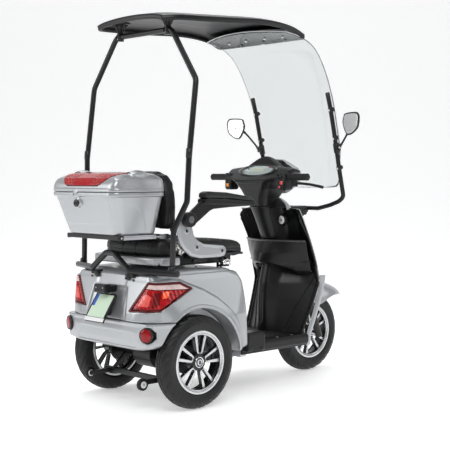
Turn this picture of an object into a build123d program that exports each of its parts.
"""Three-wheeled mobility scooter with a roof, a windshield and a top box.

Millimetres, +X forward, +Y to the rider's left, +Z up. Everything is worked out from the rear
axle, at X = 0 and above the ground at Z = 0, and moved by half the length when it is written,
so that the origin is the middle of the footprint on the ground.
"""
from build123d import *
import math
import os

# ---------------------------------------------------------------- driving dimensions
REAR_END = -390.0              # back of the top box rim
FRONT_END = 1290.0             # tip of the front fender
ORIGIN_X = (REAR_END + FRONT_END) / 2

TYRE_R = 206.0                 # 3.00-10 tyre, outside radius
TYRE_W = 84.0
BEAD_R = 137.0
WHEEL_BASE = 1034.0
TRACK_HALF = 297.0
AXLE_R = 10.0
PIVOT_X, PIVOT_R = 320.0, 8.0  # swing arm pivot, level with the rear axle
BRACKET = [(790, 790), (812, 720), (1000, 830), (1000, 858)]
FRONT_AXLE_R = 8.0
FIT = 0.05                     # running clearance on a radius

RAKE = math.atan(0.4)          # steering axis, leaning back from the vertical
STEER_POINT = (735.0, 0.0, 900.0)
FORK_HALF = 84.0               # fork legs, from the middle plane
STANCHION_R = 13.0
SLIDER_R = 18.0
FORK_OFFSET = 19.9             # front axle ahead of the steering axis
CANOPY_R = 12.5

SHELL = 4.0                    # plastic panel thickness
ARCH_R = 232.0
ARCH_X = 14.0
WELL_Y = 243.0                 # inner wall of the wheel wells
SKIRT_Z = 390.0                # joint line between rear fairing and bumper

REFLECTOR_Y = 279.0
FLOOR_TOP = 235.0
SEAT_Z = 662.0                 # underside of the cushion
BOX_FLOOR = 761.0
LOCK_Y, LOCK_Z = 40.0, 897.0
BOX_HINGE = (-88.0, 947.0)     # x, z of the lid's hinge pin
BACK_HINGE = (-36.0, 758.0)    # x, z of the backrest pivot
ARM_PIVOT = (-20.0, 825.0)     # x, z of the armrest pivots
BAR_X, BAR_Z = 680.0, 1008.0   # handlebar ends
MIRROR_X, MIRROR_Y, MIRROR_PIN_R = 936.0, 385.0, 3.0   # upright pins that the mirrors turn on

STEER = Plane(origin=STEER_POINT, x_dir=(math.cos(RAKE), 0, math.sin(RAKE)),
              z_dir=(-math.sin(RAKE), 0, math.cos(RAKE)))
AXLE_U = ((WHEEL_BASE - STEER_POINT[0]) * -math.sin(RAKE)
          + (TYRE_R - STEER_POINT[2]) * math.cos(RAKE))


# ---------------------------------------------------------------- helpers
def block(x, y, z, rounding=0.0):
    """A box between the low and high coordinates given for each axis."""
    solid = Pos((x[0] + x[1]) / 2, (y[0] + y[1]) / 2, (z[0] + z[1]) / 2) * Box(
        x[1] - x[0], y[1] - y[0], z[1] - z[0])
    return fillet(solid.edges(), rounding) if rounding else solid


def both(shape):
    """A piece and its mirror image across the middle plane, as one group."""
    return group(shape, mirror(shape, about=Plane.XZ))


def both_fused(shape):
    """A piece and its mirror image, still to be joined to what they stand on."""
    return shape + mirror(shape, about=Plane.XZ)


def group(*shapes):
    """Separate solids that share one node."""
    solids = [solid for shape in shapes for solid in shape.solids()]
    return Compound(children=solids)


def side_slab(points, y_low, y_high, rounding=0.0):
    """An outline of (x, z) points, pulled across from y_low to y_high."""
    outline = make_face(Polyline(*[(x, y_low, z) for x, z in points], close=True))
    if rounding:
        outline = fillet(outline.vertices(), rounding)
    return extrude(outline, amount=y_high - y_low, dir=(0, 1, 0))


def rod(start, end, radius, bore=0.0):
    """A straight round bar or tube between two points."""
    a, b = Vector(*start), Vector(*end)
    plane = Plane(origin=a, z_dir=b - a)
    profile = Circle(radius) - Circle(bore) if bore else Circle(radius)
    return extrude(plane * profile, amount=(b - a).length)


def tube(points, radius, bend, wall=2.0):
    """A bent tube along straight runs joined by arcs."""
    path = FilletPolyline(*points, radius=bend)
    profile = Plane(origin=path @ 0, z_dir=path % 0) * (Circle(radius) - Circle(radius - wall))
    return sweep(profile, path=path)


def sheet(rows, thickness):
    """A smooth curved panel through a grid of points, thickened to one side."""
    face = Face.make_surface_from_array_of_points([[Vector(*p) for p in row] for row in rows])
    return thicken(face, amount=thickness)


def rounded_loft(sections, corner):
    """A tapered solid through level rectangles of (z, x_low, x_high, half_width)."""
    faces = []
    for z, x_low, x_high, half in sections:
        rectangle = RectangleRounded(x_high - x_low, 2 * half, corner)
        faces.append(Pos((x_low + x_high) / 2, 0, z) * rectangle)
    return loft(faces)


def steer_rod(forward, across, low, high, radius, bore=0.0):
    """A bar parallel to the steering axis, placed in the fork's own plane."""
    profile = Circle(radius) - Circle(bore) if bore else Circle(radius)
    return STEER * Pos(forward, across, low) * extrude(profile, amount=high - low)


def steer_block(forward, across, height, rounding=0.0):
    """A box in the fork's own plane: forward, across and along the steering axis."""
    return STEER * block(forward, across, height, rounding)


# ---------------------------------------------------------------- wheels
def tyre(x, y, z):
    """A hollow tyre carcass, open towards the rim."""
    half = TYRE_W / 2
    outer = [(-34, BEAD_R), (-half, 166), (-38, 188), (-24, 201), (0, TYRE_R),
             (24, 201), (38, 188), (half, 166), (34, BEAD_R)]
    inner = [(28, BEAD_R), (35, 166), (31, 183), (19, 194), (0, 198),
             (-19, 194), (-31, 183), (-35, 166), (-28, BEAD_R)]
    edges = [Spline(*[(a, r, 0) for a, r in outer]), Line((34, BEAD_R), (28, BEAD_R)),
             Spline(*[(a, r, 0) for a, r in inner]), Line((-28, BEAD_R), (-34, BEAD_R))]
    ring = revolve(make_face(edges), Axis.X, 360)
    for low in (-half, 34):
        ring -= Pos(low, 0, 0) * (Plane.YZ * extrude(Circle(BEAD_R + 2), amount=half - 34, dir=(0, 0, 1)))
    return Pos(x, y, z) * Rot(0, 0, 90) * ring


def rim(x, y, z, outboard, bore, hub_low, hub_high, blind):
    """A cast rim with ten spokes in five pairs; outboard is the side its face is on."""
    barrel = Circle(BEAD_R - 0.5) - Circle(128)
    lips = Circle(BEAD_R + 1.5) - Circle(128)
    wheel = Pos(0, 0, -34) * extrude(barrel, amount=68)
    for low in (-37, 34):
        wheel += Pos(0, 0, low) * extrude(lips, amount=3)
    wheel += Pos(0, 0, hub_low) * extrude(Circle(38), amount=hub_high - hub_low)
    for pair in range(5):
        for lean in (-9, 9):
            spoke = Pos(82, 0, 16) * Box(98, 13, 14)
            wheel += Rot(0, 0, pair * 72 + lean) * spoke
    depth = hub_high - hub_low - (8 if blind else 0)
    wheel -= Pos(0, 0, hub_low) * extrude(Circle(bore), amount=depth)
    return Pos(x, y, z) * Rot(-90 if outboard > 0 else 90, 0, 0) * wheel


# ---------------------------------------------------------------- frame
def main_frame():
    """Twin floor rails, down tube, head tube, battery tray and the posts under the seat."""
    frame = both_fused(block((110, 790), (60, 85), (150, 190)))
    for x in (110, 240, 420, 770):
        frame += block((x, x + 20), (-85, 85), (150, 190))
    down = tube([(745, 0, 175), (745, 0, 430), (858, 0, 640)], 26, 120, 3)
    frame += block((715, 790), (-62, 62), (176, 190)) + down
    frame += steer_rod(0, 0, -430, -130, 26)
    # battery tray on four uprights, reaching back over the axle between the shocks
    frame += block((40, 320), (-150, 150), (296, 306)) + block((-60, 40), (-118, 118), (296, 306))
    for x in (110, 290):
        frame += both_fused(block((x, x + 20), (60, 85), (190, 296)))
    # seat posts and the bridge that the shocks hang from
    frame += both_fused(block((250, 270), (146, 176), (300, 580)))
    frame += both_fused(block((-60, -40), (146, 176), (296, 580)))
    frame += block((-60, -40), (-176, 176), (560, 580)) + block((-60, -40), (-176, 176), (296, 306))
    frame += both_fused(block((-40, 30), (124, 176), (556, 568)))
    # pivot ears for the rear swing arms, outside the rails
    frame += both_fused(block((303, 337), (124, 132), (170, 306)))
    frame += rod((PIVOT_X, -132, TYRE_R), (PIVOT_X, 132, TYRE_R), PIVOT_R)
    # bracket that carries the windshield frame ahead of the head tube
    frame += both_fused(side_slab(BRACKET, 38, 44)) + block((800, 826), (-38, 38), (745, 775))
    # the bore for the steering stem is cut last, so nothing is left inside it
    frame -= steer_rod(0, 0, -470, -60, 17 + FIT)
    return frame - rod((1004, -60, 848), (1004, 60, 848), 11)


def floor_board():
    """Foot board with turned-down sides and a raised block at each rear corner."""
    board = block((350, 798), (-228, 228), (222, FLOOR_TOP))
    side = block((350, 798), (218, 228), (182, 222))
    step = block((352, 467), (228, 268), (202, 289))
    return board + side + mirror(side, about=Plane.XZ) + step + mirror(step, about=Plane.XZ)


# ---------------------------------------------------------------- rear body
# plan of the body's left side, from the back to the front: x, y
ROUND_PLAN = ((-264, 190), (-238, 262), (-190, 308), (-110, 330), (0, 334), (240, 334), (350, 276))
SQUARE_PLAN = ((-264, 225), (-257, 280), (-235, 306), (-190, 322), (-110, 332), (0, 334), (240, 334),
               (350, 276))


def rear_outline(inset, corners=ROUND_PLAN):
    """The whole rear body as a solid, every wall moved in by inset."""
    side = make_face(Polyline((-264, 0, 240), (-264, 0, 392), (-252, 0, 440), (-214, 0, 584),
                              (-160, 0, 605), (40, 0, 614), (233, 0, 600), (292, 0, 578),
                              (314, 0, 538), (325, 0, 446), (343, 0, 330), (350, 0, 205),
                              (300, 0, 205), (200, 0, 240), close=True))
    front = make_face(Polyline((0, 200), (332, 200), (332, 395), (316, 440), (300, 500),
                               (286, 560), (262, 604), (240, 616), (-240, 616), (-262, 604),
                               (-286, 560), (-300, 500), (-316, 440), (-332, 395),
                               (-332, 200), close=True))
    plan = make_face(Polyline(*corners, *[(x, -y) for x, y in reversed(corners)], close=True))
    if inset:
        side, front, plan = [offset(face, -inset, kind=Kind.INTERSECTION)
                             for face in (side, front, plan)]
    body = extrude(side, amount=400, both=True)
    body &= Pos(-400, 0, 0) * (Plane.YZ * extrude(front, amount=900, dir=(0, 0, 1)))
    body &= Pos(0, 0, 150) * extrude(plan, amount=520, dir=(0, 0, 1))
    return body


def wheel_well(radius, inner_y):
    """The round space that each rear wheel turns in."""
    well = rod((ARCH_X, inner_y, TYRE_R), (ARCH_X, 400, TYRE_R), radius)
    return well + mirror(well, about=Plane.XZ)


def rear_shell(corners):
    """Rear body panels with the wheel wells, before they are divided."""
    outer = rear_outline(0, corners)
    inner = rear_outline(SHELL, corners) + block((-250, 338), (-220, 220), (190, 300))
    shell = outer - (inner - wheel_well(ARCH_R + SHELL, WELL_Y - SHELL))
    slot = rod((0, -260, TYRE_R), (0, 260, TYRE_R), 92)
    return shell - wheel_well(ARCH_R, WELL_Y) - slot


def lamp_prism(depth_low, depth_high):
    """The tail lamp's outline, pulled through the right rear corner of the body."""
    corner = Plane(origin=(0, 0, 0), x_dir=(1, -1, 0), z_dir=(-1, -1, 0))
    outline = [(-68, 435), (20, 561), (150, 557), (200, 527), (72, 440)]
    face = make_face(Polyline(*[(h, z) for h, z in outline], close=True))
    return corner * Pos(0, 0, depth_low) * extrude(face, amount=depth_high - depth_low, dir=(0, 0, 1))


def rear_body():
    """Fairing, bumper and lamps, each cut from the same shell."""
    shell = rear_shell(ROUND_PLAN)
    bumper_zone = block((-300, 0), (-400, 400), (100, SKIRT_Z))
    prism = lamp_prism(0, 500)
    prisms = prism + mirror(prism, about=Plane.XZ)
    bumper = rear_shell(SQUARE_PLAN) & bumper_zone
    ledge = rear_outline(0, SQUARE_PLAN) & block((-300, 0), (-400, 400), (SKIRT_Z - SHELL, SKIRT_Z))
    bumper += ledge - rear_outline(SHELL) - wheel_well(ARCH_R, WELL_Y)
    fairing = shell - bumper_zone - prisms
    lamps = shell & prisms
    hole = rod((-400, REFLECTOR_Y, 342), (-200, REFLECTOR_Y, 342), 21)
    bumper -= hole + mirror(hole, about=Plane.XZ)
    return fairing, bumper, lamps


def reflectors():
    """Round reflectors let into the bumper's corners."""
    disc = rod((-268, REFLECTOR_Y, 342), (-246, REFLECTOR_Y, 342), 21)
    return both(disc)


def number_plate():
    """Blank plate leaning back on its holder, and the small lamp above it."""
    lean = Pos(-250, 0, 492) * Rot(0, 33, 0)
    plate = lean * block((-7, -4), (-61, 61), (-112, -2))
    holder = lean * (block((-4, 6), (-66, 66), (-132, 4)) + block((-8, -4), (-66, 66), (-132, -113)))
    holder += block((-280, -250), (-30, 30), (415, 455))
    lamp = block((-292, -262), (-38, 38), (514, 536)) + block((-275, -225), (-25, 25), (518, 532))
    body = rear_outline(0) + rear_outline(0, SQUARE_PLAN)
    return group(plate, holder - body, lamp - body)


def battery():
    """Battery pack on the tray under the seat."""
    return block((66, 286), (-120, 120), (306, 520), 6)


def controller():
    """Motor controller with its finned heat sink, low on the right side."""
    case = block((352, 386), (-216, -150), (172, 219))
    for z in range(176, 216, 8):
        case += block((386, 392), (-216, -150), (z, z + 3))
    return case


# ---------------------------------------------------------------- leg shield
SHIELD_LEVELS = (
    # z, half width, edge x, x at 0.6 of the width, x beside the tunnel, x of the tunnel
    (235, 196, 800, 770, 735, 700),
    (300, 203, 828, 790, 742, 698),
    (400, 214, 868, 812, 752, 700),
    (480, 222, 896, 836, 768, 708),
    (560, 221, 876, 870, 812, 728),
    (690, 214, 832, 862, 838, 752),
    (800, 208, 784, 836, 812, 712),
    (850, 206, 758, 800, 786, 690),
)


def shield_rows():
    rows = []
    for z, half, edge, middle, flank, tunnel in SHIELD_LEVELS:
        right = [(edge, -half, z), (edge + 2, -half + 14, z), (middle, -half * 0.6, z),
                 (flank, -60, z), (tunnel + 8, -34, z), (tunnel, 0, z)]
        left = [(x, -y, level) for x, y, level in reversed(right[:-1])]
        rows.append(right + left)
    return rows


def band(rows, thickness):
    """A panel of flat facets through level rows of points, thickened along X."""
    faces = []
    for row in rows:
        back = [(x + thickness, y, z) for x, y, z in reversed(row)]
        faces.append(make_face(Polyline(*row, *back, close=True)))
    return loft(faces, ruled=True)


def ahead_of_shield(shift):
    """Everything ahead of the leg shield's rear face, moved forward by shift."""
    faces = []
    for row in shield_rows():
        z, edge = row[0][2], row[0][0] + shift
        points = [(x + shift, y, z) for x, y, _ in row]
        points += [(edge, 300, z), (1100, 300, z), (1100, -300, z), (edge, -300, z)]
        faces.append(make_face(Polyline(*points, close=True)))
    return loft(faces, ruled=True)


def leg_shield_inner():
    """Black panel towards the rider, with the tunnel over the down tube."""
    return band(shield_rows(), SHELL)


APRON_LEVELS = (
    # z, half width, edge x, x of the nose
    (500, 223, 893, 988),
    (580, 221, 873, 972),
    (690, 214, 838, 936),
    (800, 208, 790, 890),
    (850, 206, 764, 864),
)


def leg_shield_outer():
    """Silver apron round the front of the head tube, with a wing down each side of the wheel."""
    rows = []
    for z, half, edge, nose in APRON_LEVELS:
        bulge = nose - edge
        right = [(edge + bulge * (1 - (1 - k / 5) ** 2), -half * (1 - k / 5), z) for k in range(6)]
        left = [(x, -y, level) for x, y, level in reversed(right[:-1])]
        rows.append(right + left)
    apron = band(rows, SHELL)
    wing = side_slab([(804, 182), (838, 182), (876, 300), (922, 420), (938, 499.9), (897.5, 499.9),
                      (872.5, 400), (833, 300), (804.5, 236)], 218, 223.5)
    crest = [(z, (770 + (z - 850) * 0.35), 100 - (z - 850) * 1.1, 864 - (z - 850) * 0.75)
             for z in (850.1, 880, 910)]
    cap_rows = []
    for z, edge, half, nose in crest:
        right = [(edge + (nose - edge) * (1 - (1 - k / 3) ** 2), -half * (1 - k / 3), z)
                 for k in range(4)]
        left = [(x, -y, level) for x, y, level in reversed(right[:-1])]
        cap_rows.append(right + left)
    ahead = ahead_of_shield(SHELL) + block((780, 1000), (-300, 300), (150, 234.9))
    slots = both_fused(side_slab(BRACKET, 38, 44))
    return group((apron & ahead) - slots, both(wing & ahead), band(cap_rows, SHELL) - slots)


POCKET_LEVELS = (
    # z, half width, edge x, x at 0.6 of the width, x beside the middle, x of the middle
    (524, 196, 858, 790, 735, 690),
    (570, 204, 836, 760, 700, 672),
    (690, 208, 806, 756, 728, 716),
)


def storage_pocket():
    """Open bin across the leg shield, bulging towards the rider, closed below by its floor."""
    outer, inner = [], []
    for z, half, edge, middle, flank, centre in POCKET_LEVELS:
        for wall, rows in ((0, outer), (SHELL, inner)):
            right = [(edge + 30, -half + wall, z), (edge, -half + wall, z),
                     (middle + wall, -half * 0.6, z), (flank + wall, -60, z),
                     (centre + wall, 0, z)]
            rows.append(right + [(x, -y, level) for x, y, level in reversed(right[:-1])])
    faces = [make_face(Polyline(*out_row, *reversed(in_row), close=True))
             for out_row, in_row in zip(outer, inner)]
    wall = loft(faces, ruled=True)
    base = extrude(make_face(Polyline(*outer[0], close=True)), amount=-SHELL, dir=(0, 0, 1))
    return (wall + base) - ahead_of_shield(0)


# ---------------------------------------------------------------- canopy
def rear_bar():
    """Cross bar behind the seat, with a hump in the middle and a clamp foot each side."""
    half = [(-150, -361, 601), (-163, -318, 602), (-231, -134, 605), (-234, -28, 677)]
    bar = tube(half + [(x, -y, z) for x, y, z in reversed(half)], 13.5, 24, 2.5)
    foot = block((-226, -196), (110, 150), (575, 591)) + rod((-226, 130, 583), (-180, 130, 583), 7)
    body = rear_outline(0)
    return group(bar - body, both(foot - body))


def canopy_uprights():
    """Bent side tubes that rise from the rear bar to the roof."""
    right = tube([(-146, -318, 618), (-140, -322, 785), (-98, -360, 905), (-92, -366, 1089),
                  (-50, -364, 1423), (-43, -212, 1628)], CANOPY_R, 45, 2)
    return both(right)


def canopy_top_bar(roof):
    """Bar across the tops of the uprights, with two funnel-shaped mounts under the roof."""
    bar = tube([(-43, -212, 1628), (-42.4, -196, 1649.6), (-42.4, 196, 1649.6), (-43, 212, 1628)],
               CANOPY_R, 40, 2)
    funnel = Pos(-42.4, 170, 1702) * Cone(12, 27, 84) - rod((-42.4, 100, 1649.6),
                                                             (-42.4, 200, 1649.6), CANOPY_R)
    funnel = (funnel - roof).solids().sort_by(Axis.Z)[0]
    return group(bar, both(funnel))


ROOF_STATIONS = (
    # x, half width, edge z, crown above the edge, forward bow
    (-128, 232, 1695, 22, 0),
    (-60, 268, 1701, 28, 0),
    (80, 284, 1706, 32, 0),
    (240, 292, 1714, 33, 0),
    (400, 298, 1723, 31, 10),
    (520, 300, 1721, 27, 25),
    (615, 301, 1708, 21, 55),
    (690, 301, 1681, 15, 88),
)


def roof_panel():
    """Crowned roof with a deep rolled edge, lower at the front corners."""
    rows = []
    for x, half, edge, crown, bow in ROOF_STATIONS:
        row = []
        for angle in range(-80, 81, 20):
            across = math.sin(math.radians(angle)) / math.sin(math.radians(80))
            arch = math.cos(math.radians(angle) * 1.125)
            row.append((x + bow * arch, half * across, edge + crown * arch))
        rows.append(row)
    return sheet(rows, 10)


SCREEN_STATIONS = (
    # z of the edge, x of the edge, half width, forward bow, rise at the middle
    (962, 1001, 262, 96, -10),
    (1100, 989, 274, 98, 0),
    (1240, 958, 281, 96, 0),
    (1390, 915, 286, 92, 4),
    (1520, 856, 290, 80, 10),
    (1612, 790, 292, 62, 10),
    (1656, 728, 291, 54, 4),
    (1676, 660, 286, 18, 8),
    (1688, 590, 278, -48, 18),
)


def windshield():
    """Clear screen with rounded lower corners, bowed across and curling back under the roof."""
    rows = []
    for z, x, half, bow, rise in SCREEN_STATIONS:
        row = []
        for k in range(-4, 5):
            t = k / 4
            row.append((x + bow * (1 - t * t), half * t, z + rise * (1 - t * t)))
        rows.append(row)
    corner = block((950, 1150), (197, 300), (930, 1032)) - rod((950, 197, 1032), (1150, 197, 1032), 70)
    return sheet(rows, 4) - corner - mirror(corner, about=Plane.XZ)


SCREEN_BOLTS = ((924, 1338), (957, 1200), (988.4, 1053))


def windshield_frame():
    """One bent tube up both edges of the screen, with clamp bolts and the mirror stalks."""
    half = [(899, 262, 1420), (924, 262, 1338), (957, 262, 1200), (989, 262, 1050),
            (1019, 266, 908), (1009, 243, 885), (1004, 190, 866), (1004, 110, 848)]
    whole = [(x, -y, z) for x, y, z in half] + list(reversed(half))
    frame = tube(whole, 11, 18, 2)
    for x, z in SCREEN_BOLTS:
        frame += both_fused(rod((x + 9.5, 262, z), (x + 32, 262, z), 4))
    collar = rod((972, 262, 1132), (963.5, 262, 1172), 15, 11)
    stalk = tube([(964, 274, 1148), (962, 300, 1172), (950, 340, 1215), (MIRROR_X, MIRROR_Y, 1262)],
                 5, 14, 4.9)
    pin = rod((MIRROR_X, MIRROR_Y, 1260), (MIRROR_X, MIRROR_Y, 1288), MIRROR_PIN_R)
    return group(frame, both(collar + stalk + pin))


def roof_spacers(roof, screen):
    """Short posts between the top of the screen and the roof."""
    posts = []
    for x, y in ((640, 80), (640, 200)):
        post = rod((x, y, 1640), (x, y, 1790), 5) - roof - screen
        posts += [both(piece) for piece in post.solids().sort_by(Axis.Z)[1:2]]
    return posts


# ---------------------------------------------------------------- rear axle
def rear_axle():
    """Motor and differential, axle tubes, swing arms, brake backplates and anti-tip arms."""
    axle = rod((0, -60, TYRE_R), (0, 60, TYRE_R), 62)
    axle += rod((0, -222, TYRE_R), (0, 222, TYRE_R), 24)
    axle += rod((0, -250, TYRE_R), (0, 250, TYRE_R), 20)
    axle += rod((0, -TRACK_HALF - 18, TYRE_R), (0, TRACK_HALF + 18, TYRE_R), AXLE_R)
    axle += rod((55, 0, 208), (104, 0, 210), 46)
    for side in (-1, 1):
        plate_low, plate_high = sorted((side * 222, side * 236))
        axle += rod((0, plate_low, TYRE_R), (0, plate_high, TYRE_R), 62)
        arm_low, arm_high = sorted((side * 100, side * 119))
        axle += block((0, 336), (arm_low, arm_high), (192, 222))
        bar_low, bar_high = sorted((side * 166, side * 178))
        axle += block((-215, -95), (bar_low, bar_high), (110, 130))
        axle += side_slab([(-108, 116), (-92, 116), (10, 190), (-10, 206)], bar_low, bar_high)
        axle += rod((-208, side * 166, 117), (-208, side * 203, 117), 4)
    axle += block((-112, -92), (-205, 205), (113, 135))
    # clearance round the pivot rod, and the seats that the springs stand on
    axle -= rod((PIVOT_X, -140, TYRE_R), (PIVOT_X, 140, TYRE_R), PIVOT_R + FIT)
    return axle + both_fused(rod((0, 150, 222), (0, 150, SPRING_LOW), 26))


SPRING_LOW, SPRING_HIGH = 252.0, 440.0


def shock_bodies():
    """Damper tubes that hang from the frame bridge, each with a collar for its spring."""
    body = rod((0, -150, 330), (0, -150, 556), 17, 7)
    collar = rod((0, -150, SPRING_HIGH), (0, -150, SPRING_HIGH + 10), 27, 16.5)
    return both(body + collar)


def shock_springs():
    """Coil spring and damper rod between each axle seat and its damper tube."""
    pitch, radius, wire = 21.0, 22.5, 2.5
    low, high = SPRING_LOW + wire, SPRING_HIGH - wire
    path = Helix(pitch, high - low, radius, center=(0, -150, low))
    profile = Plane(origin=path @ 0, z_dir=path % 0) * Circle(wire)
    spring = sweep(profile, path=path, is_frenet=True)
    return both(group(spring, rod((0, -150, SPRING_LOW), (0, -150, 420), 6)))


def anti_tip_wheel(side):
    """Small wheel that stops the scooter from tipping over backwards."""
    low, high = sorted((side * 182, side * 201))
    wheel = rod((-208, low, 117), (-208, high, 117), 26)
    return wheel - rod((-208, low, 117), (-208, high, 117), 4 + FIT)


# ---------------------------------------------------------------- seat
def seat_rails():
    """Fixed slide rails on four feet, and the latch at the right."""
    rail = block((-70, 330), (150, 172), (616, 626))
    for x in (-30, 260):
        rail += rod((x, 161, 580), (x, 161, 616), 6)
    latch = block((215, 262), (-236, -206), (604, 612)) + rod((240, -221, 612), (240, -221, 630), 9)
    return group(both(rail), latch)


def seat_frame():
    """Moving rails and the board that carries the cushion."""
    runner = block((-50, 330), (150, 172), (626.5, 652))
    frame = runner + mirror(runner, about=Plane.XZ) + block((-50, 378), (-205, 205), (652, SEAT_Z))
    lug = block((20, 190), (205, 250), (652, 660))
    return frame + lug + mirror(lug, about=Plane.XZ)


def seat_trim():
    """Silver cover round the back of the seat base."""
    plan = make_face(Polyline((-168, 267), (-50, 267), (-50, -267), (-168, -267), close=True))
    plan = fillet(plan.vertices().group_by(Axis.X)[0], 45)
    trim = Pos(0, 0, 627) * extrude(plan, amount=33, dir=(0, 0, 1))
    return trim - block((-140, -50), (-230, 230), (627, 652))


def seat_cushion():
    """Padded seat, thinner at its nose."""
    pad = side_slab([(-135, SEAT_Z), (-135, 728), (60, 738), (250, 722), (392, 700),
                     (385, SEAT_Z)], -213, 213, 12)
    return pad


def seat_brackets():
    """Silver side brackets that carry the armrests and the backrest pivot."""
    plate = side_slab([(-74, 800), (-48, 852), (8, 852), (14, 800), (30, 748), (76, 716),
                       (206, 700), (220, 676), (206, 652), (60, 650), (4, 664), (-52, 712)],
                      250, 266, 10)
    plate += rod((ARM_PIVOT[0], 266, ARM_PIVOT[1]), (ARM_PIVOT[0], 296, ARM_PIVOT[1]), 6)
    plate -= rod((BACK_HINGE[0], 240, BACK_HINGE[1]), (BACK_HINGE[0], 262.5, BACK_HINGE[1]), 6 + FIT)
    return both(plate)


def backrest():
    """Rounded back cushion on a steel lug and pivot pin at each side."""
    outline = make_face(Polyline((-182, 772), (182, 772), (182, 1045), (-182, 1045), close=True))
    outline = fillet(outline.vertices().group_by(Axis.Y)[-1], 115)
    outline = fillet(outline.vertices().group_by(Axis.Y)[0], 30)
    pad = Pos(-58, 0, 0) * (Plane.YZ * extrude(outline, amount=84, dir=(0, 0, 1)))
    pad = fillet(pad.faces().group_by(Axis.X)[-1].edges(), 18)
    lug = block((-46, -26), (182, 246), (748, 800))
    pin = rod((BACK_HINGE[0], 246, BACK_HINGE[1]), (BACK_HINGE[0], 262, BACK_HINGE[1]), 6)
    strut = block((-43, -26), (130, 184), (772, 800))
    side = lug + pin + strut
    return pad + side + mirror(side, about=Plane.XZ)


def armrest(side):
    """Swing-up arm and its pad, on the pivot pin of the side bracket."""
    x, z = ARM_PIVOT
    arm = side_slab([(-44, 838), (40, 905), (60, 912), (345, 893), (345, 876), (112, 868),
                     (6, 802)], 270, 292, 4)
    arm += rod((x, 268, z), (x, 300, z), 33)
    arm -= rod((x, 260, z), (x, 297, z), 6 + FIT)
    pad = side_slab([(46, 913.4), (345, 893.4), (353, 903), (330, 918), (180, 941), (60, 948),
                     (46, 938)], 262, 318, 4)
    if side < 0:
        arm, pad = mirror(arm, about=Plane.XZ), mirror(pad, about=Plane.XZ)
    return arm, pad


# ---------------------------------------------------------------- top box
def box_rack():
    """Carrier under the box: aluminium side rails, cross members and a tube to the seat."""
    rack = block((-322, -58), (181, 189), (742, BOX_FLOOR))
    rack += mirror(rack, about=Plane.XZ)
    for x in (-330, -222, -118):
        rack += block((x, x + 20), (-189, 189), (742, BOX_FLOOR))
    return rack + rod((-66, -250, 751), (-66, 250, 751), 7)


BOX_WALL = 4.0
LID_LEVELS = (
    # z, rear x, front x, half width
    (945.5, -390, -98, 236),
    (985, -374, -112, 222),
    (1018, -338, -138, 192),
    (1036, -300, -165, 150),
)


def inset_levels(levels, wall, floor_rise):
    """The same stack of rectangles with every wall moved in."""
    return [(z + (floor_rise if k == 0 else 0) - (wall if k == len(levels) - 1 else 0),
             rear + wall, front - wall, half - wall)
            for k, (z, rear, front, half) in enumerate(levels)]


def top_box_base():
    """Open-topped tapered box with a rim, a lock boss and hinge ears."""
    levels = ((BOX_FLOOR, -334, -114, 185), (931, -378, -104, 229))
    outer = rounded_loft(levels, 42)
    inner = rounded_loft(((BOX_FLOOR + BOX_WALL, -330, -118, 181), (931.5, -374, -108, 225)), 38)
    rim = Pos(-244, 0, 930) * extrude(RectangleRounded(292, 472, 46), amount=15)
    rim -= Pos(-241, 0, 929) * extrude(RectangleRounded(264, 446, 36), amount=18)
    boss = rod((-378, LOCK_Y, LOCK_Z), (-345, LOCK_Y, LOCK_Z), 16)
    base = (outer - inner) + rim + boss
    base -= rod((-400, LOCK_Y, LOCK_Z), (-340, LOCK_Y, LOCK_Z), 9 + FIT)
    x, z = BOX_HINGE
    for side in (-1, 1):
        low, high = sorted((side * 84, side * 90))
        base += block((-99, x + 4), (low, high), (936, 945)) + block((-97, x + 4), (low, high), (945, z + 4))
    return base + rod((x, -84, z), (x, 84, z), 4)


def top_box_lid():
    """Domed lid with a knuckle round the hinge pin, and the red lens let into its back."""
    outer = rounded_loft(LID_LEVELS, 44)
    shell = outer - rounded_loft(inset_levels(LID_LEVELS, BOX_WALL, -1), 40)
    zone = block((-420, -286), (-145, 145), (972, 1024))
    lens = shell & zone
    x, z = BOX_HINGE
    lid = (shell - zone) + block((-104, x - 3), (-80, 80), (z + 1, z + 7))
    lid += rod((x, -80, z), (x, 80, z), 7)
    return lid - rod((x, -90, z), (x, 90, z), 4 + FIT), lens


def box_lock():
    """Key lock barrel in the back of the box."""
    barrel = rod((-380, LOCK_Y, LOCK_Z), (-341, LOCK_Y, LOCK_Z), 9)
    barrel += block((-341, -337), (LOCK_Y - 6, LOCK_Y + 6), (LOCK_Z - 17, LOCK_Z + 3))
    return barrel - block((-381, -377), (LOCK_Y - 1, LOCK_Y + 1), (LOCK_Z - 5, LOCK_Z + 5))


# ---------------------------------------------------------------- steering
def steering_fork():
    """Steering stem, fork crown and the two stanchion tubes."""
    fork = steer_rod(0, 0, -450, 50, 17, 13)
    fork += steer_block((-24, 34), (-104, 104), (-462, -432), 6) & steer_rod(0, 0, -470, -424, 100)
    for side in (-1, 1):
        fork += steer_rod(FORK_OFFSET, side * FORK_HALF, -700, -450, STANCHION_R)
    return fork - steer_rod(0, 0, -470, -430, 13)


def fork_sliders():
    """Sliding legs and the front axle."""
    legs = None
    for side in (-1, 1):
        leg = steer_rod(FORK_OFFSET, side * FORK_HALF, AXLE_U - 22, -560, SLIDER_R)
        leg -= steer_rod(FORK_OFFSET, side * FORK_HALF, -745, -550, STANCHION_R + FIT)
        legs = leg if legs is None else legs + leg
    return legs + rod((WHEEL_BASE, -70, TYRE_R), (WHEEL_BASE, 70, TYRE_R), FRONT_AXLE_R)


BAR_POINTS = [(BAR_X, -330, BAR_Z), (BAR_X, -128, BAR_Z), (708, -48, 968), (708, 48, 968),
              (BAR_X, 128, BAR_Z), (BAR_X, 330, BAR_Z)]
BAR_R = 11.0


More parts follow.
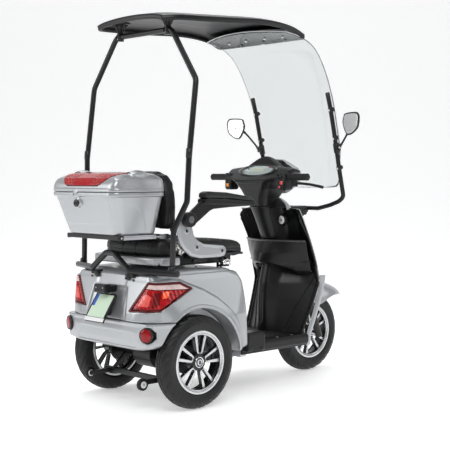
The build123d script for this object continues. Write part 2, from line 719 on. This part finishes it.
def handlebar():
    """Bent bar with the clamp that holds it on the steering stem."""
    bar = tube(BAR_POINTS, BAR_R, 28, 2.5)
    path = FilletPolyline(*BAR_POINTS, radius=28)
    whole = sweep(Plane(origin=path @ 0, z_dir=path % 0) * Circle(BAR_R), path=path)
    return bar + (steer_block((-22, 22), (-30, 30), (50, 92), 4) - whole)


COWL_LEVELS = (
    # z, rear x, front x, half width
    (866, 662, 756, 42),
    (905, 642, 770, 54),
    (960, 622, 796, 100),
    (1000, 612, 800, 184),
    (1038, 622, 799, 202),
    (1060, 650, 792, 166),
)
LAMP_LEVELS = (
    (925, 790, 832, 60),
    (970, 802, 878, 118),
    (1014, 804, 886, 150),
    (1052, 803, 866, 132),
    (1096, 800, 832, 44),
)


def handlebar_cowl():
    """Black cover over the bar's middle and the top of the column, open underneath."""
    outer = loft_levels(COWL_LEVELS, 26)
    inner = loft_levels(inset_levels(COWL_LEVELS, SHELL, -6), 22)
    cowl = outer - inner
    for side in (-1, 1):
        low, high = sorted((side * 120, side * 240))
        cowl -= rod((BAR_X, low, BAR_Z), (BAR_X, high, BAR_Z), BAR_R + 1)
    return cowl


def loft_levels(levels, corner):
    faces = []
    for z, x_low, x_high, half in levels:
        faces.append(Pos((x_low + x_high) / 2, 0, z)
                     * RectangleRounded(x_high - x_low, 2 * half, min(corner, (x_high - x_low) / 2.2)))
    return loft(faces, ruled=True)


def headlamp_cowl():
    """Silver front cover of the handlebar, with the headlamp behind its face."""
    outer = loft_levels(LAMP_LEVELS, 14)
    return outer - loft_levels(inset_levels(LAMP_LEVELS, SHELL, 4), 11)


def dash_display():
    """Oval instrument on top of the cowl."""
    return Pos(706, 0, 1060) * extrude(Ellipse(38, 76), amount=6)


def switch_pods():
    """Switch housing on each side of the bar, with the brake lever's perch ahead of it."""
    pod = block((660, 706), (166, 212), (950, 1026), 5) + block((700, 738), (190, 216), (962, 1000), 4)
    pod -= rod((BAR_X, 150, BAR_Z), (BAR_X, 230, BAR_Z), BAR_R)
    pod -= block((716, 745), (186, 220), (971.7, 984.3))
    pod += rod((726, 203, 970), (726, 203, 988), 3)
    left = pod - rod((650, 189, 968), (666, 189, 968), 7 + FIT)
    right = mirror(pod, about=Plane.XZ) - rod((650, -189, 980), (666, -189, 980), 7 + FIT)
    return group(left, right)


def brake_lever(side):
    """Lever on a pin in the perch, reaching out ahead of the grip."""
    outline = make_face(Polyline((716, 192), (736, 194), (758, 222), (800, 306), (808, 322),
                                 (796, 322), (742, 228), (722, 214), close=True))
    outline = fillet(outline.vertices(), 2)
    lever = Pos(0, 0, 972) * extrude(outline, amount=12, dir=(0, 0, 1))
    lever -= rod((726, 203, 960), (726, 203, 990), 3 + FIT)
    return lever if side > 0 else mirror(lever, about=Plane.XZ)


def grip(bore):
    """Ribbed hand grip with a closed end."""
    body = rod((BAR_X, 216, BAR_Z), (BAR_X, 334, BAR_Z), 16.5)
    body += rod((BAR_X, 216, BAR_Z), (BAR_X, 221, BAR_Z), 20)
    return body - rod((BAR_X, 210, BAR_Z), (BAR_X, 331, BAR_Z), bore)


FENDER_STATIONS = (
    # x, top z, edge z, half width
    (932, 466, 436, 44),
    (1000, 474, 380, 62),
    (1050, 475, 348, 78),
    (1110, 461, 372, 82),
    (1180, 441, 388, 72),
    (1240, 412, 386, 46),
    (1288, 378, 372, 8),
)


def front_fender():
    """Winged fender over the front tyre, drawn out to a point at its front."""
    rows = []
    for x, top, edge, half in FENDER_STATIONS:
        rows.append([(x, half * math.sin(math.radians(a)),
                      edge + (top - edge) * math.cos(math.radians(a))) for a in range(-90, 91, 20)])
    return sheet(rows, 3)


def mirror_head(side):
    """Rear view mirror: shell with the glass on its rear face."""
    outline = make_face(Polyline((-362, 1310), (-446, 1322), (-466, 1290), (-448, 1232),
                                 (-396, 1212), (-350, 1240), close=True))
    outline = fillet(outline.vertices(), 16)
    shell = Pos(910, 0, 0) * (Plane.YZ * extrude(outline, amount=20, dir=(0, 0, 1)))
    shell += rod((MIRROR_X, -MIRROR_Y, 1268), (MIRROR_X, -MIRROR_Y, 1290), 7)
    shell -= rod((MIRROR_X, -MIRROR_Y, 1260), (MIRROR_X, -MIRROR_Y, 1300), MIRROR_PIN_R + FIT)
    return shell if side < 0 else mirror(shell, about=Plane.XZ)


def push_button(y, z):
    """Round push button in the rear face of a switch housing."""
    return rod((655, y, z), (665, y, z), 7)


KEY_Y, KEY_Z, KEY_R = -62.0, 793.0, 8.0


def key_boss():
    """Raised oval pad round the key barrel, on the leg shield."""
    pad = Pos(786, KEY_Y, KEY_Z) * (Plane.YZ * extrude(Ellipse(15, 20), amount=60))
    return pad - ahead_of_shield(0) - rod((770, KEY_Y, KEY_Z), (900, KEY_Y, KEY_Z), KEY_R + FIT)


def ignition_key():
    """Key barrel beside the column, with the key's bow standing out."""
    barrel = rod((784, KEY_Y, KEY_Z), (806, KEY_Y, KEY_Z), KEY_R)
    return barrel + block((764, 785), (KEY_Y - 1.5, KEY_Y + 1.5), (KEY_Z - 6, KEY_Z + 6))


# ---------------------------------------------------------------- writing
def write(name, shape):
    """Move a piece into the part's own frame and write it."""
    moved = Pos(-ORIGIN_X, 0, 0) * shape
    solids = moved.solids()
    export_step(solids[0] if len(solids) == 1 else Compound(children=solids), f"parts/{name}.step")


def main():
    os.makedirs("parts", exist_ok=True)
    frame = main_frame()
    down_hole = rod((745, 0, 150), (745, 0, 300), 26)
    fairing, bumper, lamps = rear_body()
    rails = seat_rails()
    feet = both_fused(rod((-30, 161, 570), (-30, 161, 620), 6) + rod((260, 161, 570), (260, 161, 620), 6))
    roof, screen_frame = roof_panel(), windshield_frame()
    screen = sorted((windshield() - screen_frame).solids(), key=lambda piece: piece.volume)[-1]
    fork = steering_fork()
    pod_space = both_fused(block((655, 745), (162, 240), (945, 1030)))
    cowl, lamp_cowl = handlebar_cowl() - fork - pod_space, headlamp_cowl()
    lid, lens = top_box_lid()
    shield = leg_shield_inner() - rod((700, KEY_Y, KEY_Z), (900, KEY_Y, KEY_Z), KEY_R + FIT)
    pods = switch_pods()
    write("main_frame", frame)
    write("floor_board", floor_board() - down_hole)
    write("rear_fairing", fairing - feet)
    write("rear_bumper", bumper)
    write("tail_lamps", group(lamps, reflectors()))
    write("number_plate", number_plate())
    write("battery_pack", battery())
    write("motor_controller", controller())
    write("leg_shield_inner", group(shield, key_boss()))
    write("leg_shield_outer", leg_shield_outer())
    write("storage_pocket", storage_pocket())
    write("rear_bar", rear_bar())
    write("canopy_uprights", canopy_uprights())
    write("canopy_top_bar", canopy_top_bar(roof))
    write("roof_panel", group(roof, *roof_spacers(roof, screen)))
    write("windshield", screen)
    write("windshield_frame", screen_frame)
    write("shock_bodies", shock_bodies())
    write("shock_springs", shock_springs())
    write("seat_rails", rails)
    write("rear_axle", rear_axle())
    write("seat_frame", seat_frame())
    write("seat_trim", seat_trim())
    write("seat_cushion", seat_cushion())
    write("seat_brackets", seat_brackets())
    write("box_rack", box_rack())
    write("top_box_base", top_box_base())
    write("top_box_lid", lid)
    write("lid_lens", lens)
    write("box_lock", box_lock())
    write("backrest", backrest())
    write("steering_fork", fork)
    write("fork_sliders", fork_sliders())
    write("handlebar", handlebar())
    write("handlebar_cowl", cowl)
    write("headlamp_cowl", lamp_cowl - cowl)
    write("dash_display", dash_display())
    write("switch_pods", pods)
    write("front_fender", front_fender())
    write("grip_left", grip(BAR_R))
    write("throttle_grip", mirror(grip(BAR_R + FIT), about=Plane.XZ))
    write("horn_button", push_button(189, 968))
    write("lamp_button", push_button(-189, 980))
    write("ignition_key", ignition_key())
    for side, name in ((1, "left"), (-1, "right")):
        arm, pad = armrest(side)
        write(f"armrest_{name}", arm)
        write(f"armrest_pad_{name}", pad)
        write(f"brake_lever_{name}", brake_lever(side))
        write(f"mirror_{name}", mirror_head(side))
        write(f"anti_tip_wheel_{name}", anti_tip_wheel(side))
        write(f"rear_tyre_{name}", tyre(0, side * TRACK_HALF, TYRE_R))
        write(f"rear_rim_{name}", rim(0, side * TRACK_HALF, TYRE_R, side, AXLE_R + FIT, -20, 34, True))
    write("front_tyre", tyre(WHEEL_BASE, 0, TYRE_R))
    write("front_rim", rim(WHEEL_BASE, 0, TYRE_R, -1, FRONT_AXLE_R + FIT, -50, 50, False))


if __name__ == "__main__":
    main()
